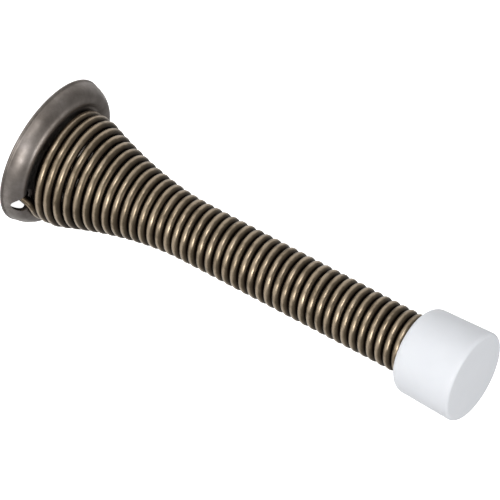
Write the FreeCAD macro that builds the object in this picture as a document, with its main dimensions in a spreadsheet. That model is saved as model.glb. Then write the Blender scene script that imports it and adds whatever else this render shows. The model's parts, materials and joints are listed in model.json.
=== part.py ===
import FreeCAD, Part
import math
import os
import Sketcher

# Spring door stop: a pressed rosette that is screwed to the wall, a closed-wound steel spring with a
# flared root threaded into the rosette's slot, and a rubber cap pushed over the far end.
# Millimetres. +Z runs from the wall to the cap, the origin is the rosette's centre on the wall plane.

DIMENSIONS = [
    # rosette: one pressed sheet, hollow behind its shoulder, with its hub flat on the wall
    ("rim_radius", 12.5),
    ("sheet_thickness", 0.7),
    ("rim_height", 0.3),
    ("lip_radius", 12.3),
    ("lip_height", 0.55),
    ("shoulder_radius", 11.4),
    ("shoulder_height", 2.9),
    ("shoulder_curve", 3.78),
    ("crest_curve", 1.35),
    ("crest_foot_radius", 9.8),
    ("crest_foot_height", 3.25),
    ("seat_radius", 9.2),
    ("seat_height", 2.9),
    ("hollow_shoulder_radius", 10.87),
    ("hollow_shoulder_height", 2.45),
    ("hollow_crest_radius", 10.1),
    ("hollow_crest_height", 2.62),
    ("hollow_crest_curve", 0.65),
    ("hollow_seat_radius", 9.4),
    ("well_radius", 7.3),
    ("well_foot_radius", 7.0),
    ("well_foot_height", 1.4),
    ("hub_radius", 6.3),
    ("hub_hollow_radius", 6.6),
    ("screw_hole_radius", 2.05),
    ("slot_azimuth", -27.5),
    ("slot_width", 3.4),
    ("slot_inner_radius", 8.0),
    ("slot_outer_radius", 12.05),
    # spring wire and the shape it is wound to
    ("wire_diameter", 1.46),
    ("tube_outer_radius", 4.97),
    ("flare_gain", 4.6),
    ("flare_start", 6.5),
    ("flare_height", 21.5),
    ("flare_power", 1.75),
    ("flare_pitch", 1.533),
    ("tube_pitch", 1.6),
    ("wire_azimuth", -27.0),
    ("slot_level", 3.46),
    ("lean_angle", 3.5),
    ("axis_offset", 0.93),
    ("crank_turns", 0.026),
    ("first_cut_turns", 1.075),
    ("stretch_turns", 1.25),
    ("cut_gap", 0.045),
    # the wire's way through the slot and its tail behind the rosette
    ("crank_angle", 60.0),
    ("crank_curve", 1.2),
    ("tail_turn_in", 3.0),
    ("tail_level", 1.35),
    ("tail_sweep", 200.0),
    # rubber cap, measured along the spring's own axis
    ("cap_rear", 70.0),
    ("cap_front", 81.1),
    ("cap_rear_radius", 7.05),
    ("cap_front_radius", 7.5),
    ("cap_rear_round", 1.9),
    ("cap_front_round", 0.6),
    ("socket_end", 78.85),
    ("socket_clearance", 0.06),
    # mounting screw, standing loose in the spring with its point at the hole
    ("screw_radius", 1.75),
    ("screw_length", 16.0),
    ("screw_point_length", 3.5),
    ("screw_point_level", 0.15),
    ("screw_head_radius", 3.3),
    ("screw_head_height", 2.2),
    ("screw_head_round", 1.32),
    ("recess_width", 0.9),
    ("recess_length", 3.4),
    ("recess_depth", 1.5),
]
FLARE_STRETCHES = 13
STRETCHES = 32
TIP_STRETCHES = 5

doc = FreeCAD.newDocument("DoorStop")
sheet = doc.addObject("Spreadsheet::Sheet", "Dimensions")
for row, (alias, value) in enumerate(DIMENSIONS, 1):
    sheet.set(f"A{row}", alias)
    sheet.set(f"B{row}", str(value))
    sheet.setAlias(f"B{row}", alias)
doc.recompute()


def cell(alias):
    """The name of a cell, as an expression on another object writes it."""
    return f"Dimensions.{alias}"


def value_of(expression):
    """The number an expression gives, so that a sketch is drawn near its final shape."""
    return float(sheet.evalExpression(expression))


def add_body(label):
    body = doc.addObject("PartDesign::Body", label)
    body.Label = label
    return body


def add_sketch(body, role, name):
    """A sketch on one of the body's own origin planes."""
    sketch = body.newObject("Sketcher::SketchObject", name)
    plane = [item for item in body.Origin.OriginFeatures if item.Role == role][0]
    sketch.AttachmentSupport = (plane, [""])
    sketch.MapMode = "FlatFace"
    return sketch


def bind(sketch, kind, arguments, expression):
    """Add a dimension to a sketch and bind it to the sheet."""
    index = sketch.addConstraint(Sketcher.Constraint(kind, *arguments, value_of(expression)))
    sketch.setExpression(f"Constraints[{index}]", expression)


def pin_point(sketch, geometry, point, x_expression, y_expression):
    """Hold one point of a sketch at a place, or on an axis where that coordinate is zero."""
    for kind, axis, expression in (("DistanceX", -2, x_expression), ("DistanceY", -1, y_expression)):
        if expression == "0":
            sketch.addConstraint(Sketcher.Constraint("PointOnObject", geometry, point, axis))
        else:
            bind(sketch, kind, (-1, 1, geometry, point), expression)


def arc_between(start, end, radius):
    """The shorter arc from start to end, turning clockwise; with a negative radius, the other way."""
    chord = end - start
    half = chord.Length / 2
    side = FreeCAD.Vector(chord.y, -chord.x, 0).normalize() * math.copysign(1, radius)
    centre = (start + end) / 2 + side * math.sqrt(radius ** 2 - half ** 2)
    circle = Part.Circle(centre, FreeCAD.Vector(0, 0, 1), abs(radius))
    first, last = (end, start) if radius > 0 else (start, end)
    return Part.ArcOfCircle(circle, circle.parameter(first), circle.parameter(last))


def draw_outline(sketch, corners):
    """Draw a closed outline. A corner is (x, y, curve): the curve is the radius of the arc that
    leads to the next corner, positive where it turns clockwise, or None for a straight line."""
    spots = [FreeCAD.Vector(value_of(x), value_of(y), 0) for x, y, curve in corners]
    ends = []
    for index, (x, y, curve) in enumerate(corners):
        start = spots[index]
        end = spots[(index + 1) % len(spots)]
        if curve is None:
            geometry = sketch.addGeometry(Part.LineSegment(start, end), False)
            ends.append((geometry, 1, 2))
            continue
        radius = value_of(curve)
        geometry = sketch.addGeometry(arc_between(start, end, radius), False)
        ends.append((geometry, 2, 1) if radius > 0 else (geometry, 1, 2))
    for index, (x, y, curve) in enumerate(corners):
        geometry, first, last = ends[index]
        following, next_first, next_last = ends[(index + 1) % len(ends)]
        sketch.addConstraint(Sketcher.Constraint("Coincident", geometry, last, following, next_first))
        pin_point(sketch, geometry, first, x, y)
        if curve is not None:
            bind(sketch, "Radius", (geometry,), f"abs({curve})")


def revolve(body, corners, name):
    """A solid turned about the body's Z axis from a half outline of (radius, height) corners."""
    sketch = add_sketch(body, "XZ_Plane", f"{name}_outline")
    draw_outline(sketch, corners)
    turned = body.newObject("PartDesign::Revolution", name)
    turned.Profile = sketch
    turned.ReferenceAxis = (sketch, ["V_Axis"])
    turned.Angle = 360
    return turned


def round_edges(body, base, name, radius, level):
    """Fillet the circular edge of a turned solid that lies at one height and is the widest there."""
    doc.recompute()
    rings = []
    for number, edge in enumerate(base.Shape.Edges, 1):
        box = edge.BoundBox
        if box.ZLength < 1e-6 and abs(box.ZMin - level) < 1e-6 and edge.isClosed():
            rings.append((box.XMax, number))
    fillet = body.newObject("PartDesign::Fillet", name)
    fillet.Base = (base, [f"Edge{max(rings)[1]}"])
    fillet.setExpression("Radius", radius)
    return fillet


def make_rosette():
    """The pressed rosette: a flat hub, a well, a seat ring for the spring and a domed shoulder."""
    body = add_body("rosette")
    sheet_edge = cell("sheet_thickness")
    hollow_curve = f"-({cell('shoulder_curve')} - {sheet_edge})"
    hollow_crest_curve = f"-{cell('hollow_crest_curve')}"
    corners = [
        (cell("screw_hole_radius"), sheet_edge, None),
        (cell("hub_radius"), sheet_edge, None),
        (cell("well_foot_radius"), cell("well_foot_height"), None),
        (cell("well_radius"), cell("seat_height"), None),
        (cell("seat_radius"), cell("seat_height"), None),
        (cell("crest_foot_radius"), cell("crest_foot_height"), cell("crest_curve")),
        (cell("shoulder_radius"), cell("shoulder_height"), cell("shoulder_curve")),
        (cell("lip_radius"), cell("lip_height"), None),
        (cell("rim_radius"), cell("rim_height"), None),
        (cell("rim_radius"), "0", None),
        (f"{cell('rim_radius')} - {sheet_edge}", "0", None),
        (f"{cell('lip_radius')} - {sheet_edge}", cell("lip_height"), hollow_curve),
        (cell("hollow_shoulder_radius"), cell("hollow_shoulder_height"), hollow_crest_curve),
        (cell("hollow_crest_radius"), cell("hollow_crest_height"), None),
        (cell("hollow_seat_radius"), f"{cell('seat_height')} - {sheet_edge}", None),
        (f"{cell('well_radius')} + {sheet_edge}", f"{cell('seat_height')} - {sheet_edge}", None),
        (f"{cell('well_foot_radius')} + {sheet_edge}", cell("well_foot_height"), None),
        (cell("hub_hollow_radius"), "0", None),
        (cell("screw_hole_radius"), "0", None),
    ]
    pressed = revolve(body, corners, "pressed_sheet")
    doc.recompute()
    whole = pressed.Shape.Volume
    sketch = add_sketch(body, "XY_Plane", "slot_outline")
    azimuth = value_of(cell("slot_azimuth"))
    half = value_of(cell("slot_width")) / 2
    along = FreeCAD.Vector(math.cos(math.radians(azimuth)), math.sin(math.radians(azimuth)), 0)
    across = FreeCAD.Vector(-along.y, along.x, 0)
    inner = along * (value_of(cell("slot_inner_radius")) + half)
    outer = along * (value_of(cell("slot_outer_radius")) - half)
    sides = [
        Part.LineSegment(inner - across * half, outer - across * half),
        Part.Arc(outer - across * half, outer + along * half, outer + across * half),
        Part.LineSegment(outer + across * half, inner + across * half),
        Part.Arc(inner + across * half, inner - along * half, inner - across * half),
    ]
    for side in sides:
        sketch.addGeometry(side, False)
    slot = body.newObject("PartDesign::Pocket", "wire_slot")
    slot.Profile = sketch
    slot.Type = 1
    slot.Reversed = True
    doc.recompute()
    print("slot removes", round(whole - slot.Shape.Volume, 2), "mm3 of", round(whole, 2))
    return body


def spring_frame(level, azimuth):
    """The place of a piece wound on the spring: up its leaning axis by level, turned by azimuth."""
    lean = FreeCAD.Rotation(FreeCAD.Vector(0, 1, 0), -value_of(cell("lean_angle")))
    root = FreeCAD.Vector(value_of(cell("axis_offset")), 0, 0)
    turn = FreeCAD.Rotation(FreeCAD.Vector(0, 0, 1), azimuth)
    return FreeCAD.Placement(root, lean) * FreeCAD.Placement(FreeCAD.Vector(0, 0, level), turn)


def cut_level(index):
    """The height of a cut in the wire, counted from 0 below the first flexing stretch."""
    flare_count = min(index, FLARE_STRETCHES)
    tube_count = index - flare_count
    turns = f"({cell('first_cut_turns')} + {flare_count} * {cell('stretch_turns')})"
    rise = f"{cell('slot_level')} + {turns} * {cell('flare_pitch')}"
    return f"({rise} + {tube_count} * {cell('stretch_turns')} * {cell('tube_pitch')})"


def wire_radius(level):
    """The radius of the wire's centre line at a height: a tube that opens into a flared root."""
    reach = f"max(0; min(1; 1 - ({level} - {cell('flare_start')}) / {cell('flare_height')}))"
    outside = f"{cell('tube_outer_radius')} + {cell('flare_gain')} * {reach} ^ {cell('flare_power')}"
    return f"({outside} - {cell('wire_diameter')} / 2)"


def wind_stretch(label, top, bottom, pitch, turns, top_azimuth):
    """One stretch of wire, wound from its upper end downwards and set on the spring's axis.
    The wire's section is two half circles, so that no face of the sweep closes on itself."""
    body = add_body(label)
    sketch = add_sketch(body, "XZ_Plane", f"{label}_wire")
    radius = wire_radius(top)
    centre = FreeCAD.Vector(value_of(radius), 0, 0)
    circle = Part.Circle(centre, FreeCAD.Vector(0, 0, 1), value_of(cell("wire_diameter")) / 2)
    upper = sketch.addGeometry(Part.ArcOfCircle(circle, 0, math.pi), False)
    lower = sketch.addGeometry(Part.ArcOfCircle(circle, math.pi, 2 * math.pi), False)
    sketch.addConstraint(Sketcher.Constraint("Coincident", upper, 2, lower, 1))
    sketch.addConstraint(Sketcher.Constraint("Coincident", upper, 1, lower, 2))
    sketch.addConstraint(Sketcher.Constraint("Coincident", upper, 3, lower, 3))
    sketch.addConstraint(Sketcher.Constraint("PointOnObject", upper, 3, -1))
    sketch.addConstraint(Sketcher.Constraint("PointOnObject", upper, 1, -1))
    sketch.addConstraint(Sketcher.Constraint("PointOnObject", upper, 2, -1))
    bind(sketch, "DistanceX", (-1, 1, upper, 3), radius)
    bind(sketch, "Radius", (upper,), f"{cell('wire_diameter')} / 2")
    helix = body.newObject("PartDesign::AdditiveHelix", f"{label}_winding")
    helix.Profile = sketch
    helix.ReferenceAxis = (sketch, ["V_Axis"])
    helix.Mode = 1
    helix.LeftHanded = False
    helix.Reversed = False
    helix.setExpression("Pitch", pitch)
    helix.setExpression("Turns", turns)
    helix.setExpression("Angle", f"atan(({wire_radius(bottom)} - {radius}) / ({top} - {bottom}))")
    upside_down = FreeCAD.Placement(FreeCAD.Vector(), FreeCAD.Rotation(FreeCAD.Vector(1, 0, 0), 180))
    body.Placement = spring_frame(value_of(top), top_azimuth) * upside_down
    return body


def make_stretches():
    """The stretches of the spring, each ending a quarter turn further round than the last. The
    first ones flex, and the last ones are held inside the cap."""
    bodies = []
    first_azimuth = value_of(f"{cell('wire_azimuth')} + 360 * {cell('first_cut_turns')}")
    for index in range(STRETCHES + TIP_STRETCHES):
        pitch = cell("flare_pitch") if index < FLARE_STRETCHES else cell("tube_pitch")
        bottom = cut_level(index)
        top = cut_level(index + 1)
        opening = f"{cell('cut_gap')} / (2 * pi * {wire_radius(bottom)})"
        turns = f"{cell('stretch_turns')} - {opening}"
        azimuth = first_azimuth + 360 * (index + 1) * value_of(cell("stretch_turns"))
        label = f"spring_coil_{index + 1:02d}"
        if index >= STRETCHES:
            label = f"spring_tip_coil_{index + 1 - STRETCHES}"
        bodies.append(wind_stretch(label, top, bottom, pitch, turns, azimuth))
    return bodies


def make_base():
    """The root of the wire: its tail behind the rosette, the crank through the slot, the first turn."""
    # the first turn starts where the crank's upper bend ends, a few degrees past the slot
    bottom = f"({cell('slot_level')} + {cell('crank_turns')} * {cell('flare_pitch')})"
    turns = f"{cell('first_cut_turns')} - {cell('crank_turns')}"
    top_azimuth = value_of(f"{cell('wire_azimuth')} + 360 * {cell('first_cut_turns')}")
    winding = wind_stretch("first_turn", cut_level(0), bottom, cell("flare_pitch"), turns, top_azimuth)
    doc.recompute()
    end_faces = [face for face in winding.Shape.Faces if face.Surface.TypeId == "Part::GeomPlane"]
    start_face = min(end_faces, key=lambda face: face.CenterOfMass.z)
    start = start_face.CenterOfMass

    # the crank runs straight on from the first turn, in an upright plane
    backward = FreeCAD.Vector(start_face.normalAt(0, 0).x, start_face.normalAt(0, 0).y, 0).normalize()
    if backward.y > 0:
        backward = -backward
    down = FreeCAD.Vector(0, 0, -1)
    curve = value_of(cell("crank_curve"))
    angle = math.radians(value_of(cell("crank_angle")))
    tail_level = value_of(cell("tail_level"))
    bend = backward * curve * math.sin(angle) + down * curve * (1 - math.cos(angle))
    bend_middle = backward * curve * math.sin(angle / 2) + down * curve * (1 - math.cos(angle / 2))
    run_drop = start.z - tail_level - 2 * curve * (1 - math.cos(angle))
    run = backward * (run_drop / math.tan(angle)) + down * run_drop
    crank_end = start + bend + run + bend
    crank = [Part.Arc(start, start + bend_middle, start + bend),
             Part.LineSegment(start + bend, start + bend + run),
             Part.Arc(start + bend + run, crank_end - bend_middle, crank_end)]

    # behind the rosette the tail turns in until it runs round the rosette's centre
    inward = FreeCAD.Vector(backward.y, -backward.x, 0)
    if inward.dot(crank_end) > 0:
        inward = -inward
    turn_in = value_of(cell("tail_turn_in"))
    pivot = crank_end + inward * turn_in
    reach = math.hypot(pivot.x, pivot.y)
    tail_radius = reach + turn_in
    tail_azimuth = math.atan2(pivot.y, pivot.x)
    sweep = math.radians(value_of(cell("tail_sweep")))

    def on_tail(azimuth):
        return FreeCAD.Vector(tail_radius * math.cos(azimuth), tail_radius * math.sin(azimuth), tail_level)

    entry = on_tail(tail_azimuth)
    halfway = (crank_end - pivot).normalize() + (entry - pivot).normalize()
    bend_in = Part.Arc(crank_end, pivot + halfway.normalize() * turn_in, entry)
    tail = Part.Arc(entry, on_tail(tail_azimuth - sweep / 2), on_tail(tail_azimuth - sweep))
    path = Part.Wire([edge.toShape() for edge in crank + [bend_in, tail]])
    section = Part.Wire([Part.makeCircle(value_of(cell("wire_diameter")) / 2, start, backward)])
    hook = path.makePipeShell([section], True, False)

    base = doc.addObject("Part::Feature", "spring_base_coils")
    base.Label = "spring_base_coils"
    base.Shape = winding.Shape.fuse(hook).removeSplitter()
    base.Placement = FreeCAD.Placement()
    print("tail radius", round(tail_radius, 2), "mm, hook volume", round(hook.Volume, 2),
          "mm3 against", round(path.Length * section.Length ** 2 / (4 * math.pi), 2))
    return base


def make_cap():
    """The rubber cap: a blind socket over the last turns, a rounded rear edge and a flat front."""
    body = add_body("bumper_cap")
    socket = f"{cell('tube_outer_radius')} + {cell('socket_clearance')}"
    corners = [
        ("0", cell("socket_end"), None),
        (socket, cell("socket_end"), None),
        (socket, cell("cap_rear"), None),
        (cell("cap_rear_radius"), cell("cap_rear"), None),
        (cell("cap_front_radius"), cell("cap_front"), None),
        ("0", cell("cap_front"), None),
    ]
    turned = revolve(body, corners, "cap_turned")
    rear = round_edges(body, turned, "rear_round", cell("cap_rear_round"), value_of(cell("cap_rear")))
    round_edges(body, rear, "front_round", cell("cap_front_round"), value_of(cell("cap_front")))
    body.Placement = spring_frame(0, 0)
    return body


def make_screw():
    """The mounting screw: a pan head with a cross recess, a plain shank and a conical point."""
    body = add_body("mounting_screw")
    point = cell("screw_point_level")
    seat = f"{point} + {cell('screw_length')}"
    corners = [
        ("0", point, None),
        (cell("screw_radius"), f"{point} + {cell('screw_point_length')}", None),
        (cell("screw_radius"), seat, None),
        (cell("screw_head_radius"), seat, None),
        (cell("screw_head_radius"), f"{seat} + {cell('screw_head_height')}", None),
        ("0", f"{seat} + {cell('screw_head_height')}", None),
    ]
    turned = revolve(body, corners, "screw_turned")
    top = value_of(f"{seat} + {cell('screw_head_height')}")
    rounded = round_edges(body, turned, "head_round", cell("screw_head_round"), top)
    doc.recompute()
    for name, across, upright in (("recess_x", "recess_length", "recess_width"),
                                  ("recess_y", "recess_width", "recess_length")):
        before = body.Shape.Volume
        box = body.newObject("PartDesign::SubtractiveBox", name)
        box.setExpression("Length", cell(across))
        box.setExpression("Width", cell(upright))
        box.setExpression("Height", cell("recess_depth"))
        corner_x = -value_of(cell(across)) / 2
        corner_y = -value_of(cell(upright)) / 2
        box.Placement.Base = FreeCAD.Vector(corner_x, corner_y, top - value_of(cell("recess_depth")))
        doc.recompute()
        print(name, "removes", round(before - body.Shape.Volume, 2), "mm3")
    return body


pieces = [make_rosette(), make_base()] + make_stretches() + [make_cap(), make_screw()]
doc.recompute()
for item in doc.Objects:
    if "Invalid" in item.State or "Error" in item.State:
        raise RuntimeError(f"{item.Name} failed: {item.State}")
for piece in pieces:
    if piece.Shape.isNull() or not piece.Shape.isValid() or len(piece.Shape.Solids) != 1:
        raise RuntimeError(f"{piece.Label} has no single valid solid")

os.makedirs("parts", exist_ok=True)
for piece in pieces:
    piece.Shape.exportStep(f"parts/{piece.Label}.step")
    print(piece.Label, round(piece.Shape.Volume, 2), "mm3")
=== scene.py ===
# %% [markdown]
# A spring door stop: a pressed rosette that is screwed to the wall, a steel spring that is threaded
# into the rosette's slot and wound into a trumpet at its root, a white rubber cap and a screw.
# The model stands on its rosette, with +Z from the wall to the cap, and every length is in metres.
# The frame holds the solid pieces and their joints, and the visible pieces are built to fit it.

# %% Load the frame
import json
import math

import bpy
from mathutils import Matrix, Quaternion, Vector


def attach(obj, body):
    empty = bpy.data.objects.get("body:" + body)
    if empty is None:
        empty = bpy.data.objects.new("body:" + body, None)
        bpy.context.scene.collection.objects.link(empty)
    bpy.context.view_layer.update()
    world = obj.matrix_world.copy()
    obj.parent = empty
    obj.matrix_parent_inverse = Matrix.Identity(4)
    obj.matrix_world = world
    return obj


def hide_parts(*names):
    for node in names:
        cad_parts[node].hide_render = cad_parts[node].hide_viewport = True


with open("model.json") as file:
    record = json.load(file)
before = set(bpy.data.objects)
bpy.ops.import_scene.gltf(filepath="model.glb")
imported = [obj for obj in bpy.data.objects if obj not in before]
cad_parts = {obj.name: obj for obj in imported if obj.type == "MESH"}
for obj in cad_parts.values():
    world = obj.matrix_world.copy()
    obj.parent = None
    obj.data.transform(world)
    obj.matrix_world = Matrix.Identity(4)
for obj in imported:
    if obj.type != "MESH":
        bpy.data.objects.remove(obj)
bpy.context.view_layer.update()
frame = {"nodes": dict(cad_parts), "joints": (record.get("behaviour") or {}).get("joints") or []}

MM = 0.001

# %% [markdown]
# The spring is one wire. The frame cuts it into stretches that hinge on each other, and each hinge
# sits on the centre of the wire, so the hinges say where the wire runs: how high each cut is, how
# far it is from the spring's axis, and which way the axis leans. The first two hinges are a quarter
# turn apart, so together they give the axis's foot on the wall plane.

# %% Read the spring's line from its hinges
JOINTS = {joint["name"]: joint for joint in frame["joints"]}
HINGES = [joint for joint in frame["joints"] if joint["type"] == "hinge"]
AXIS_UP = Vector(JOINTS["cap_pull_off"]["axis"]).normalized()
AXIS_X = Vector(HINGES[0]["axis"]).normalized()
AXIS_Y = Vector(HINGES[1]["axis"]).normalized()
FOOT_ALONG_X = Vector(HINGES[1]["pos_m"]).dot(AXIS_X)
FOOT_ALONG_Y = Vector(HINGES[0]["pos_m"]).dot(AXIS_Y)
AXIS_FOOT = AXIS_X * FOOT_ALONG_X + AXIS_Y * FOOT_ALONG_Y
AXIS_FOOT -= AXIS_UP * (AXIS_FOOT.z / AXIS_UP.z)
TURNS_PER_STRETCH = 1.25


def level_and_radius(point):
    """How far along the spring's axis a point is, and how far from the axis."""
    offset = Vector(point) - AXIS_FOOT
    level = offset.dot(AXIS_UP)
    return level, (offset - AXIS_UP * level).length


CUTS = [level_and_radius(hinge["pos_m"]) for hinge in HINGES]
print("cuts:", len(CUTS), "first", CUTS[0], "last", CUTS[-1])


def on_wire(turns):
    """The centre of the wire at a number of turns past the first cut. The last cut's pitch and
    radius go on for as long as the wire does, and so do the first cut's below it."""
    place = turns / TURNS_PER_STRETCH
    index = min(max(int(math.floor(place)), 0), len(CUTS) - 2)
    share = place - index
    level = CUTS[index][0] + (CUTS[index + 1][0] - CUTS[index][0]) * share
    radius = CUTS[index][1]
    if 0 < place:
        radius += (CUTS[index + 1][1] - CUTS[index][1]) * min(share, 1)
    angle = 2 * math.pi * turns
    spoke = AXIS_X * math.cos(angle) + AXIS_Y * math.sin(angle)
    return AXIS_FOOT + AXIS_UP * level + spoke * radius


# %% [markdown]
# A wire is best made as a curve with a round bevel: the curve is the line that the wire is bent
# along, and its bevel depth is the wire's radius. It is turned into a mesh with closed ends.

# %% The wire maker
WIRE_DIAMETER = 1.46 * MM
WIRE_SMOOTHNESS = 5
WIRE_CREASE_ANGLE = math.radians(50)
POINTS_PER_TURN = 48
END_STEP = 0.02
CREASE_ANGLE = math.radians(35)


def only(*objects):
    """Select these objects and nothing else."""
    if bpy.context.object and bpy.context.object.mode != "OBJECT":
        bpy.ops.object.mode_set(mode="OBJECT")
    bpy.ops.object.select_all(action="DESELECT")
    for item in objects:
        item.select_set(True)
    bpy.context.view_layer.objects.active = objects[-1]


def bend_wire(name, points):
    """A closed round wire along a line of points."""
    curve = bpy.data.curves.new(name, "CURVE")
    curve.dimensions = "3D"
    curve.twist_mode = "MINIMUM"
    curve.bevel_depth = WIRE_DIAMETER / 2
    curve.bevel_resolution = WIRE_SMOOTHNESS
    curve.use_fill_caps = True
    spline = curve.splines.new("POLY")
    spline.points.add(len(points) - 1)
    for spot, point in zip(spline.points, points):
        spot.co = (*point, 1)
    wire = bpy.data.objects.new(name, curve)
    bpy.context.scene.collection.objects.link(wire)
    only(wire)
    bpy.ops.object.convert(target="MESH")
    wire = bpy.context.object
    bpy.ops.object.shade_smooth_by_angle(angle=WIRE_CREASE_ANGLE)
    return wire


def winding(start, end):
    """Points along the winding between two numbers of turns. A very short step at each end makes
    the wire's end square to its own line, so that the next stretch meets it cleanly."""
    steps = max(2, round((end - start) * POINTS_PER_TURN))
    shares = [step / steps for step in range(steps + 1)]
    shares.insert(1, END_STEP / steps)
    shares.insert(-1, 1 - END_STEP / steps)
    return [on_wire(start + (end - start) * share) for share in shares]


# %% [markdown]
# One piece of wire is wound for each stretch between two hinges, and it rides on the body that the
# first of them turns. The turns inside the cap bend no more, so they are one piece of wire.

# %% Wind the flexing stretches and the turns inside the cap
SPRING = []
for index in range(len(CUTS) - 1):
    start = index * TURNS_PER_STRETCH
    stretch = bend_wire(f"wire_stretch_{index + 1:02d}", winding(start, start + TURNS_PER_STRETCH))
    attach(stretch, HINGES[index]["child"])
    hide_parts(f"spring_coil_{index + 1:02d}")
    SPRING.append(stretch)

TIP_COILS = sorted(name for name in frame["nodes"] if name.startswith("spring_tip_coil"))
last_cut = (len(CUTS) - 1) * TURNS_PER_STRETCH
tip = bend_wire("wire_tip", winding(last_cut, last_cut + len(TIP_COILS) * TURNS_PER_STRETCH))
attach(tip, "spring_tip")
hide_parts(*TIP_COILS)
SPRING.append(tip)
print("stretches:", len(SPRING))

# %% [markdown]
# The wire's root is what holds the spring. The first turn sits on the rosette, then the wire is
# cranked steeply down through the slot, and its tail runs round behind the plate, so the spring
# can't be pulled off but only unthreaded. The crank is two tight bends with a short straight
# between them, drawn in one upright plane, and the tail turns in and then runs round the centre.

# %% Bend the root of the wire
ROOT_TURNS = 1.049
CRANK_ANGLE = math.radians(60)
CRANK_CURVE = 1.2 * MM
TAIL_LEVEL = 1.35 * MM
TAIL_TURN_IN = 3.0 * MM
TAIL_SWEEP = math.radians(200)
BEND_STEPS = 12

root = winding(-ROOT_TURNS, 0)
start = root[0]
heading = start - root[1]
backward = Vector((heading.x, heading.y, 0)).normalized()
down = Vector((0, 0, -1))
bend_drop = CRANK_CURVE * (1 - math.cos(CRANK_ANGLE))
run_drop = start.z - TAIL_LEVEL - 2 * bend_drop
run = backward * (run_drop / math.tan(CRANK_ANGLE)) + down * run_drop


def bend(angle):
    """How far the wire has gone when a bend has turned it down by an angle."""
    return backward * CRANK_CURVE * math.sin(angle) + down * CRANK_CURVE * (1 - math.cos(angle))


crank_end = start + bend(CRANK_ANGLE) * 2 + run
bend_angles = [CRANK_ANGLE * step / BEND_STEPS for step in range(BEND_STEPS + 1)]
crank = [start + bend(angle) for angle in bend_angles[1:]]
crank += [crank_end - bend(angle) for angle in reversed(bend_angles)]

inward = Vector((backward.y, -backward.x, 0))
if inward.dot(crank_end) > 0:
    inward.negate()
pivot = crank_end + inward * TAIL_TURN_IN
tail_radius = Vector((pivot.x, pivot.y)).length + TAIL_TURN_IN
tail_azimuth = math.atan2(pivot.y, pivot.x)
turn_in_angle = Vector((pivot.x, pivot.y)).angle(Vector((-inward.x, -inward.y)))
turn_in = [pivot + Quaternion((0, 0, 1), -turn_in_angle * step / BEND_STEPS) @ (-inward * TAIL_TURN_IN)
           for step in range(1, BEND_STEPS + 1)]
tail_steps = round(POINTS_PER_TURN * TAIL_SWEEP / (2 * math.pi))
tail = [Vector((tail_radius * math.cos(angle), tail_radius * math.sin(angle), TAIL_LEVEL))
        for angle in (tail_azimuth - TAIL_SWEEP * step / tail_steps for step in range(1, tail_steps + 1))]
base_wire = bend_wire("wire_root", list(reversed(crank + turn_in + tail)) + root)
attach(base_wire, "rosette")
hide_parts("spring_base_coils")
SPRING.append(base_wire)
print("tail radius", tail_radius, "crank end", crank_end, "turn in", math.degrees(turn_in_angle))

# %% [markdown]
# The rosette, the cap and the screw's head are round, so each is made the way a lathe hand would
# think of it: a ring is drawn at the first radius, and then extruded, scaled and lifted along the
# outline, one ring after another, until the outline closes.

# %% The lathe
def outline_points(corners, arc_steps=14):
    """The outline through (radius, height, curve) corners, in millimetres. Where a corner has a
    curve, the way to the next corner is an arc of that radius: it turns clockwise, or the other
    way where the curve is negative."""
    points = []
    for index, (radius, height, curve) in enumerate(corners):
        start = Vector((radius, height))
        end = Vector(corners[(index + 1) % len(corners)][:2])
        points.append(start)
        if curve is None:
            continue
        chord = end - start
        side = Vector((chord.y, -chord.x)).normalized() * math.copysign(1, curve)
        centre = (start + end) / 2 + side * math.sqrt(curve ** 2 - (chord.length / 2) ** 2)
        first = start - centre
        sweep = -first.angle_signed(end - centre)
        for step in range(1, arc_steps):
            angle = sweep * step / arc_steps
            points.append(centre + Matrix.Rotation(angle, 2) @ first)
    return points


def turn_on_lathe(name, corners, segments=144, closed=True):
    """A round piece from a half outline: one ring per point, merged where the outline meets."""
    points = outline_points(corners)
    radius, height = points[0]
    bpy.ops.object.select_all(action="DESELECT")
    bpy.ops.mesh.primitive_circle_add(vertices=segments, radius=radius * MM, location=(0, 0, height * MM))
    piece = bpy.context.object
    piece.name = name
    only(piece)
    bpy.ops.object.transform_apply(location=True, rotation=True, scale=True)
    bpy.ops.object.mode_set(mode="EDIT")
    bpy.ops.mesh.select_all(action="SELECT")
    for next_radius, next_height in points[1:] + ([points[0]] if closed else []):
        lift = (0, 0, (next_height - height) * MM)
        bpy.ops.mesh.extrude_edges_move(TRANSFORM_OT_translate={"value": lift})
        ratio = next_radius / radius
        bpy.ops.transform.resize(value=(ratio, ratio, 1), center_override=(0, 0, 0))
        radius, height = next_radius, next_height
    if not closed:
        bpy.ops.mesh.edge_face_add()
    bpy.ops.mesh.select_all(action="SELECT")
    bpy.ops.mesh.remove_doubles(threshold=0.001 * MM)
    bpy.ops.mesh.normals_make_consistent(inside=False)
    bpy.ops.object.mode_set(mode="OBJECT")
    return piece


def cut_away(piece, cutter):
    """Cut one solid out of another, and throw the cutter away."""
    only(piece)
    cut = piece.modifiers.new("cut", "BOOLEAN")
    cut.operation = "DIFFERENCE"
    cut.solver = "EXACT"
    cut.object = cutter
    bpy.ops.object.modifier_apply(modifier=cut.name)
    bpy.data.objects.remove(cutter, do_unlink=True)


def apply_bevel(piece, width, angle, segments=3):
    """Round the creases of a piece that are sharper than an angle."""
    only(piece)
    modifier = piece.modifiers.new("edges", "BEVEL")
    modifier.width = width
    modifier.segments = segments
    modifier.limit_method = "ANGLE"
    modifier.angle_limit = math.radians(angle)
    modifier.harden_normals = False
    bpy.ops.object.modifier_apply(modifier=modifier.name)


# %% [markdown]
# The rosette is pressed from one sheet. Its outline starts at the screw hole and runs over the front:
# the flat hub, the well, the seat that the first turn lies on, the rounded dome and the rim. It then
# comes back along the hollow side, one sheet's thickness behind.

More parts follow.
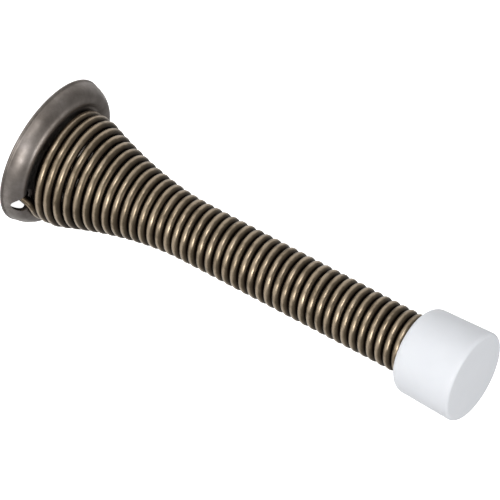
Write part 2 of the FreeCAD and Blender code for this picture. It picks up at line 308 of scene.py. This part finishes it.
# %% Press the rosette
SHEET = 0.7
PRESSED_EDGE = 0.16 * MM
PUNCHED_EDGE = 0.06 * MM
ROSETTE_OUTLINE = [
    (2.05, SHEET, None),
    (6.3, SHEET, None),
    (7.0, 1.4, None),
    (7.3, 2.9, None),
    (9.2, 2.9, None),
    (9.8, 3.25, 1.35),
    (11.4, 2.9, 3.78),
    (12.3, 0.55, None),
    (12.5, 0.3, None),
    (12.5, 0.0, None),
    (11.8, 0.0, None),
    (11.6, 0.55, -3.08),
    (10.87, 2.45, -0.65),
    (10.1, 2.62, None),
    (9.4, 2.2, None),
    (8.0, 2.2, None),
    (7.7, 1.4, None),
    (6.6, 0.0, None),
    (2.05, 0.0, None),
]
rosette = turn_on_lathe("rosette_plate", ROSETTE_OUTLINE, segments=192)
apply_bevel(rosette, PRESSED_EDGE, 25)

# %% [markdown]
# The slot is punched through the seat and the shoulder. A rounded bar is made from a cube with
# bevelled upright edges, turned to the slot's azimuth, and cut away, and then the punched edge is
# broken a little, as tumbling does before plating.

# %% Punch the slot
SLOT_AZIMUTH = math.radians(-27.5)
SLOT_WIDTH = 3.4 * MM
SLOT_INNER = 8.0 * MM
SLOT_OUTER = 12.05 * MM
SLOT_ROUNDING = 0.499
PUNCH_HEIGHT = 6 * MM
bpy.ops.object.select_all(action="DESELECT")
bpy.ops.mesh.primitive_cube_add(size=1, location=((SLOT_INNER + SLOT_OUTER) / 2, 0, PUNCH_HEIGHT / 3))
punch = bpy.context.object
punch.scale = (SLOT_OUTER - SLOT_INNER, SLOT_WIDTH, PUNCH_HEIGHT)
only(punch)
bpy.ops.object.transform_apply(location=True, rotation=True, scale=True)
bpy.ops.object.mode_set(mode="EDIT")
bpy.ops.mesh.select_all(action="DESELECT")
bpy.ops.object.mode_set(mode="OBJECT")
for edge in punch.data.edges:
    low, high = (punch.data.vertices[index].co for index in edge.vertices)
    edge.select = abs(low.z - high.z) > PUNCH_HEIGHT / 2
bpy.ops.object.mode_set(mode="EDIT")
bpy.ops.mesh.select_mode(type="EDGE")
bpy.ops.mesh.bevel(offset=SLOT_WIDTH * SLOT_ROUNDING, segments=12)
bpy.ops.object.mode_set(mode="OBJECT")
punch.rotation_euler = (0, 0, SLOT_AZIMUTH)
bpy.ops.object.transform_apply(location=True, rotation=True, scale=True)
cut_away(rosette, punch)
apply_bevel(rosette, PUNCHED_EDGE, 45, segments=2)
bpy.ops.object.shade_smooth_by_angle(angle=CREASE_ANGLE)
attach(rosette, "rosette")
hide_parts("rosette")
print("rosette:", len(rosette.data.polygons), "faces", [round(side, 5) for side in rosette.dimensions])

# %% [markdown]
# The cap is moulded in white rubber: a slightly tapered plug with a flat face, a small round at its
# front edge and a larger one at its rear, and a blind socket that grips the spring's last turns.
# It is turned upright like the rosette and then leaned and moved onto the spring's own axis.

# %% Mould the cap
def set_on_spring(piece):
    """Lean an upright piece, made round the origin, onto the spring's axis."""
    only(piece)
    turn = Matrix((AXIS_X, AXIS_Y, AXIS_UP)).transposed().to_4x4()
    piece.matrix_world = Matrix.Translation(AXIS_FOOT) @ turn
    bpy.ops.object.transform_apply(location=True, rotation=True, scale=True)


def close_ends(piece):
    """Fill the small round holes that an open lathe outline leaves at its axis."""
    only(piece)
    bpy.ops.object.mode_set(mode="EDIT")
    bpy.ops.mesh.select_all(action="SELECT")
    bpy.ops.mesh.fill_holes(sides=0)
    bpy.ops.mesh.select_all(action="SELECT")
    bpy.ops.mesh.normals_make_consistent(inside=False)
    bpy.ops.object.mode_set(mode="OBJECT")


CAP_OUTLINE = [
    (0.4, 81.1, None),
    (6.9, 81.1, 0.6),
    (7.485, 80.5, None),
    (7.127, 71.9, 1.9),
    (5.227, 70.0, None),
    (5.03, 70.0, None),
    (5.03, 78.85, None),
    (0.4, 78.85, None),
]
cap = turn_on_lathe("rubber_cap", CAP_OUTLINE, closed=False)
close_ends(cap)
set_on_spring(cap)
bpy.ops.object.shade_smooth_by_angle(angle=math.radians(32))
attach(cap, "cap")
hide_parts("bumper_cap")
print("cap:", [round(side, 5) for side in cap.dimensions])

# %% [markdown]
# The screw stands loose inside the spring with its point at the rosette's hole. Its head and shank
# are turned, its thread is a thin ridge wound round the core like the wire, and the cross recess is
# cut with two crossed bars.

# %% Turn the screw and cut its recess
SCREW_POINT = 0.15
SCREW_SEAT = 16.15
SCREW_TOP = 18.35
CORE_RADIUS = 1.2
THREAD_RADIUS = 1.72
THREAD_PITCH = 1.3
THREAD_FOOT = 0.6
THREAD_TOP = 11.6
TAPER_TOP = 3.4
RECESS_LENGTH = 3.4
RECESS_WIDTH = 0.85
RECESS_HEIGHT = 1.8
RECESS_MIDDLE = 0.6
SCREW_EDGE = 0.08 * MM
SCREW_OUTLINE = [
    (0.3, SCREW_TOP, None),
    (1.9, SCREW_TOP, 2.6),
    (3.28, SCREW_SEAT + 0.8, None),
    (3.28, SCREW_SEAT, None),
    (THREAD_RADIUS, SCREW_SEAT, None),
    (THREAD_RADIUS, THREAD_TOP + 0.6, None),
    (CORE_RADIUS, THREAD_TOP, None),
    (CORE_RADIUS, TAPER_TOP, None),
    (0.06, SCREW_POINT, None),
]
screw = turn_on_lathe("screw", SCREW_OUTLINE, segments=64, closed=False)
close_ends(screw)
for size in ((RECESS_LENGTH, RECESS_WIDTH), (RECESS_WIDTH, RECESS_LENGTH)):
    bpy.ops.object.select_all(action="DESELECT")
    bpy.ops.mesh.primitive_cube_add(size=1, location=(0, 0, (SCREW_TOP - RECESS_MIDDLE) * MM))
    bar = bpy.context.object
    bar.scale = (size[0] * MM, size[1] * MM, RECESS_HEIGHT * MM)
    only(bar)
    bpy.ops.object.transform_apply(location=True, rotation=True, scale=True)
    cut_away(screw, bar)
apply_bevel(screw, SCREW_EDGE, 40, segments=2)

# %% [markdown]
# The thread's ridge is a small flat-topped section that is swept up a helix. Its foot is sunk a
# little into the core, and near the point it follows the taper.

# %% Wind the screw's thread
RIDGE_SECTION = ((-0.2, 0.32), (-0.2, -0.32), (0.4, -0.05), (0.4, 0.05))
RIDGE_REACH = 0.12
LEAST_RADIUS = 0.02
STEPS_PER_THREAD = 32
thread_turns = (THREAD_TOP - THREAD_FOOT) / THREAD_PITCH
thread_steps = round(thread_turns * STEPS_PER_THREAD)
thread_line = []
for step in range(thread_steps + 1):
    height = THREAD_FOOT + (THREAD_TOP - THREAD_FOOT) * step / thread_steps
    taper = (height - SCREW_POINT) / (TAPER_TOP - SCREW_POINT)
    root_radius = min(CORE_RADIUS, CORE_RADIUS * taper + LEAST_RADIUS)
    angle = 2 * math.pi * (height - THREAD_FOOT) / THREAD_PITCH
    reach = root_radius + RIDGE_REACH
    thread_line.append(Vector((reach * math.cos(angle), reach * math.sin(angle), height)) * MM)
ridge = bpy.data.curves.new("ridge", "CURVE")
ridge.dimensions = "2D"
corners = ridge.splines.new("POLY")
corners.points.add(len(RIDGE_SECTION) - 1)
for corner, (x, y) in zip(corners.points, RIDGE_SECTION):
    corner.co = (x * MM, y * MM, 0, 1)
corners.use_cyclic_u = True
ridge_object = bpy.data.objects.new("ridge", ridge)
bpy.context.scene.collection.objects.link(ridge_object)
thread_curve = bpy.data.curves.new("screw_thread", "CURVE")
thread_curve.dimensions = "3D"
thread_curve.twist_mode = "Z_UP"
thread_curve.bevel_mode = "OBJECT"
thread_curve.bevel_object = ridge_object
thread_curve.use_fill_caps = True
line = thread_curve.splines.new("POLY")
line.points.add(len(thread_line) - 1)
for spot, point in zip(line.points, thread_line):
    spot.co = (*point, 1)
thread = bpy.data.objects.new("screw_thread", thread_curve)
bpy.context.scene.collection.objects.link(thread)
only(thread)
bpy.ops.object.convert(target="MESH")
thread = bpy.context.object
bpy.data.objects.remove(ridge_object, do_unlink=True)
for piece in (screw, thread):
    only(piece)
    bpy.ops.object.shade_smooth_by_angle(angle=CREASE_ANGLE)
    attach(piece, "screw")
    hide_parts("mounting_screw")
print("screw thread:", [round(side, 5) for side in thread.dimensions])

# %% [markdown]
# Finishes. Each one starts from a plain metal or rubber and adds what plating, wear and moulding
# do to it. The helpers below keep a finish readable: one call adds a node and joins its inputs.

# %% Small node helpers
def new_finish(name):
    """A material with only its Principled shader, and a maker of more nodes."""
    material = bpy.data.materials.new(name)
    material.use_nodes = True
    nodes = material.node_tree.nodes
    links = material.node_tree.links
    shader = nodes["Principled BSDF"]

    def add(kind, inputs=(), **settings):
        node = nodes.new(kind)
        for key, value in settings.items():
            setattr(node, key, value)
        for socket, value in dict(inputs).items():
            if isinstance(value, bpy.types.NodeSocket):
                links.new(value, node.inputs[socket])
            else:
                node.inputs[socket].default_value = value
        return node

    return material, shader, add, links


def ramp(add, factor, stops):
    """A colour ramp with (place, colour) stops."""
    node = add("ShaderNodeValToRGB", {"Fac": factor})
    while len(node.color_ramp.elements) < len(stops):
        node.color_ramp.elements.new(0.5)
    for element, (place, colour) in zip(node.color_ramp.elements, stops):
        element.position = place
        element.color = (*colour, 1)
    return node


# %% [markdown]
# The spring is plated antique brass: a dark patina that has been rubbed back where the wire stands
# proud, so a line of warm metal runs along the outside of every turn. How far the surface faces
# away from the spring's axis says how much the patina is rubbed, and noise makes the wear uneven.

# %% Antique brass wire
def make_wire_finish():
    material, shader, add, links = new_finish("antique_brass_wire")
    place = add("ShaderNodeTexCoord")
    lean = Matrix((AXIS_X, AXIS_Y, AXIS_UP)).to_euler()
    upright = add("ShaderNodeMapping", {"Vector": place.outputs["Object"], "Rotation": lean})
    spokes = add("ShaderNodeVectorMath", {0: upright.outputs[0], 1: (1, 1, 0)}, operation="MULTIPLY")
    spoke = add("ShaderNodeVectorMath", {0: spokes.outputs[0]}, operation="NORMALIZE")
    facing = add("ShaderNodeMapping", {"Vector": place.outputs["Normal"], "Rotation": lean})
    outward = add("ShaderNodeVectorMath", {0: spoke.outputs[0], 1: facing.outputs[0]},
                  operation="DOT_PRODUCT")
    blotches = add("ShaderNodeTexNoise", {"Vector": place.outputs["Object"], "Scale": 420, "Detail": 5,
                                          "Roughness": 0.6})
    wander = add("ShaderNodeMath", {0: blotches.outputs["Fac"], 1: 0.5}, operation="SUBTRACT")
    wandered = add("ShaderNodeMath", {0: wander.outputs[0], 1: 0.55, 2: outward.outputs["Value"]},
                   operation="MULTIPLY_ADD")
    colour = ramp(add, wandered.outputs[0], [
        (0.10, (0.018, 0.013, 0.009)),
        (0.60, (0.075, 0.057, 0.038)),
        (0.88, (0.175, 0.136, 0.092)),
        (0.99, (0.370, 0.295, 0.210)),
    ])
    links.new(colour.outputs["Color"], shader.inputs["Base Color"])
    shader.inputs["Metallic"].default_value = 1.0
    dull = add("ShaderNodeMapRange", {"Value": wandered.outputs[0], "From Min": 0.3, "From Max": 1.0,
                                      "To Min": 0.50, "To Max": 0.33})
    links.new(dull.outputs[0], shader.inputs["Roughness"])
    drawing = add("ShaderNodeTexNoise", {"Vector": place.outputs["Object"], "Scale": 2600, "Detail": 3})
    bump = add("ShaderNodeBump", {"Strength": 0.12, "Distance": 0.00004, "Height": drawing.outputs["Fac"]})
    links.new(bump.outputs[0], shader.inputs["Normal"])
    return material


# %% [markdown]
# The rosette is plated antique nickel: a grey metal with soft, cloudy patches of patina.

# %% Antique nickel sheet
def make_sheet_finish():
    material, shader, add, links = new_finish("antique_nickel_sheet")
    place = add("ShaderNodeTexCoord")
    clouds = add("ShaderNodeTexNoise", {"Vector": place.outputs["Object"], "Scale": 160, "Detail": 6,
                                        "Roughness": 0.62})
    colour = ramp(add, clouds.outputs["Fac"], [
        (0.30, (0.120, 0.104, 0.092)),
        (0.52, (0.210, 0.186, 0.168)),
        (0.72, (0.330, 0.298, 0.280)),
    ])
    links.new(colour.outputs["Color"], shader.inputs["Base Color"])
    shader.inputs["Metallic"].default_value = 1.0
    dull = add("ShaderNodeMapRange", {"Value": clouds.outputs["Fac"], "From Min": 0.3, "From Max": 0.7,
                                      "To Min": 0.50, "To Max": 0.38})
    links.new(dull.outputs[0], shader.inputs["Roughness"])
    grain = add("ShaderNodeTexNoise", {"Vector": place.outputs["Object"], "Scale": 2200, "Detail": 4})
    bump = add("ShaderNodeBump", {"Strength": 0.10, "Distance": 0.00004, "Height": grain.outputs["Fac"]})
    links.new(bump.outputs[0], shader.inputs["Normal"])
    return material


# %% [markdown]
# The cap is matt white rubber, a little cooler than neutral, that light enters slightly.

# %% White rubber
def make_rubber_finish():
    material, shader, add, links = new_finish("white_rubber")
    place = add("ShaderNodeTexCoord")
    clouds = add("ShaderNodeTexNoise", {"Vector": place.outputs["Object"], "Scale": 130, "Detail": 4})
    colour = ramp(add, clouds.outputs["Fac"], [
        (0.35, (0.632, 0.648, 0.678)),
        (0.65, (0.655, 0.670, 0.698)),
    ])
    links.new(colour.outputs["Color"], shader.inputs["Base Color"])
    shader.inputs["Roughness"].default_value = 0.5
    shader.inputs["Subsurface Weight"].default_value = 0.15
    shader.inputs["Subsurface Radius"].default_value = (0.0012, 0.0011, 0.001)
    shader.inputs["Subsurface Scale"].default_value = 1.0
    grain = add("ShaderNodeTexNoise", {"Vector": place.outputs["Object"], "Scale": 1500, "Detail": 4})
    bump = add("ShaderNodeBump", {"Strength": 0.08, "Distance": 0.00005, "Height": grain.outputs["Fac"]})
    links.new(bump.outputs[0], shader.inputs["Normal"])
    return material


# %% [markdown]
# Every piece gets its finish. The screw is plated like the
# spring, so it shares the brass.

# %% Give every piece its finish
def dress(piece, material):
    piece.data.materials.clear()
    piece.data.materials.append(material)


wire_finish = make_wire_finish()
for stretch in SPRING:
    dress(stretch, wire_finish)
dress(rosette, make_sheet_finish())
dress(cap, make_rubber_finish())
for piece in (screw, thread):
    dress(piece, wire_finish)

# %% [markdown]
# The stage is a plain white floor under a white sky. Both look pure white but light the model only
# a little, so the metal mirrors the soft lamps and not the floor. Under the rosette's hub a shadow
# is painted on the floor: its colour is dark and its glow is off there, in place of the shade that
# no light reaches, and it is white from the hollow of the dome outwards.

# %% Floor and sky
# Painted shadow: the floor is painted dark out to the first radius, and white from the second.
PAINTED_SHADOW_RADIUS = 8.4 * MM
PAINTED_SHADOW_END_RADIUS = 9.2 * MM
FLOOR_LIGHT = 0.12
SKY_LIGHT = 0.38
FLOOR_SIZE = 6
FLOOR_LEVEL = -0.00002
bpy.ops.object.select_all(action="DESELECT")
bpy.ops.mesh.primitive_plane_add(size=FLOOR_SIZE, location=(0, 0, FLOOR_LEVEL))
floor = bpy.context.object
floor.name = "floor"
floor_finish, floor_shader, add, links = new_finish("white_floor_painted_shadow")
floor_place = add("ShaderNodeTexCoord")
# The painted shadow's mask: nought under the hub, one from the hollow of the dome outwards. It darkens the
# floor's colour and turns off its glow.
reach = add("ShaderNodeVectorMath", {0: floor_place.outputs["Object"]}, operation="LENGTH")
outside_painted_shadow = add("ShaderNodeMapRange", {"Value": reach.outputs["Value"], "From Min": PAINTED_SHADOW_RADIUS,
                                       "From Max": PAINTED_SHADOW_END_RADIUS})
floor_tone_and_painted_shadow = ramp(add, outside_painted_shadow.outputs[0], [(0.0, (0.02, 0.02, 0.02)), (1.0, (0.9, 0.9, 0.9))])
glow = add("ShaderNodeLightPath")
glow_strength = add("ShaderNodeMapRange", {"Value": glow.outputs["Is Camera Ray"], "To Min": FLOOR_LIGHT,
                                           "To Max": 1.0})
glow_outside_painted_shadow = add("ShaderNodeMath", {0: glow_strength.outputs[0], 1: outside_painted_shadow.outputs[0]},
              operation="MULTIPLY")
links.new(floor_tone_and_painted_shadow.outputs["Color"], floor_shader.inputs["Base Color"])
links.new(glow_outside_painted_shadow.outputs[0], floor_shader.inputs["Emission Strength"])
floor_shader.inputs["Emission Color"].default_value = (1, 1, 1, 1)
floor_shader.inputs["Roughness"].default_value = 0.9
floor.data.materials.append(floor_finish)

world = bpy.data.worlds.new("sky")
bpy.context.scene.world = world
world.use_nodes = True
sky_nodes = world.node_tree.nodes
sky_links = world.node_tree.links
sky = sky_nodes["Background"]
sky.inputs["Color"].default_value = (1, 1, 1, 1)
rays = sky_nodes.new("ShaderNodeLightPath")
strength = sky_nodes.new("ShaderNodeMapRange")
strength.inputs["To Min"].default_value = SKY_LIGHT
strength.inputs["To Max"].default_value = 1.0
sky_links.new(rays.outputs["Is Camera Ray"], strength.inputs["Value"])
sky_links.new(strength.outputs[0], sky.inputs["Strength"])
bpy.context.scene.view_settings.view_transform = "Standard"

# %% [markdown]
# The camera stands far off with a long lens, 23 degrees above the spring's side, and it is rolled
# so that the spring runs from the upper left down to the right. Its right, up and back directions
# are written out, and the lamps are placed along them too.

# %% Camera
AXIS_ROLL = math.radians(31.4)
ELEVATION = math.radians(23.0)
VIEW_RIGHT = Vector((-math.sin(AXIS_ROLL), math.cos(AXIS_ROLL) * math.sin(ELEVATION),
                     math.cos(AXIS_ROLL) * math.cos(ELEVATION)))
VIEW_UP = Vector((-math.cos(AXIS_ROLL), -math.sin(AXIS_ROLL) * math.sin(ELEVATION),
                  -math.sin(AXIS_ROLL) * math.cos(ELEVATION)))
VIEW_BACK = Vector((0, -math.cos(ELEVATION), math.sin(ELEVATION)))
DISTANCE = 1.2559
AIM_RIGHT = 0.03139
AIM_DOWN = 0.01581
AIM = VIEW_RIGHT * AIM_RIGHT - VIEW_UP * AIM_DOWN
camera_data = bpy.data.cameras.new("camera")
camera_data.lens = 576
camera_data.sensor_width = 36
camera_data.clip_start = 0.05
camera = bpy.data.objects.new("camera", camera_data)
bpy.context.scene.collection.objects.link(camera)
view_turn = Matrix((VIEW_RIGHT, VIEW_UP, VIEW_BACK)).transposed().to_4x4()
camera.matrix_world = Matrix.Translation(AIM + VIEW_BACK * DISTANCE) @ view_turn
bpy.context.scene.camera = camera
print("camera:", [round(place, 4) for place in AIM + VIEW_BACK * DISTANCE])

# %% [markdown]
# Two soft lamps stand in front, one above and one below the spring, and draw the two lines of
# highlights along its turns. A third one lights the cap's end face.

# %% Lamps
LAMP_TARGET = AXIS_UP * 0.04


def add_lamp(name, right, up, back, size, power):
    """A square soft lamp, placed by how far right of, above and in front of its target it is."""
    lamp_data = bpy.data.lights.new(name, "AREA")
    lamp_data.shape = "SQUARE"
    lamp_data.size = size
    lamp_data.energy = power
    lamp = bpy.data.objects.new(name, lamp_data)
    bpy.context.scene.collection.objects.link(lamp)
    lamp.location = LAMP_TARGET + VIEW_RIGHT * right + VIEW_UP * up + VIEW_BACK * back
    lamp.rotation_euler = (lamp.location - LAMP_TARGET).to_track_quat("Z", "Y").to_euler()


add_lamp("key", -0.16, 0.30, 0.46, 0.24, 2.6)
add_lamp("low", -0.22, -0.22, 0.48, 0.20, 1.4)
add_lamp("end", 0.50, -0.26, 0.30, 0.36, 2.3)
print("lamps:", len(bpy.data.lights))
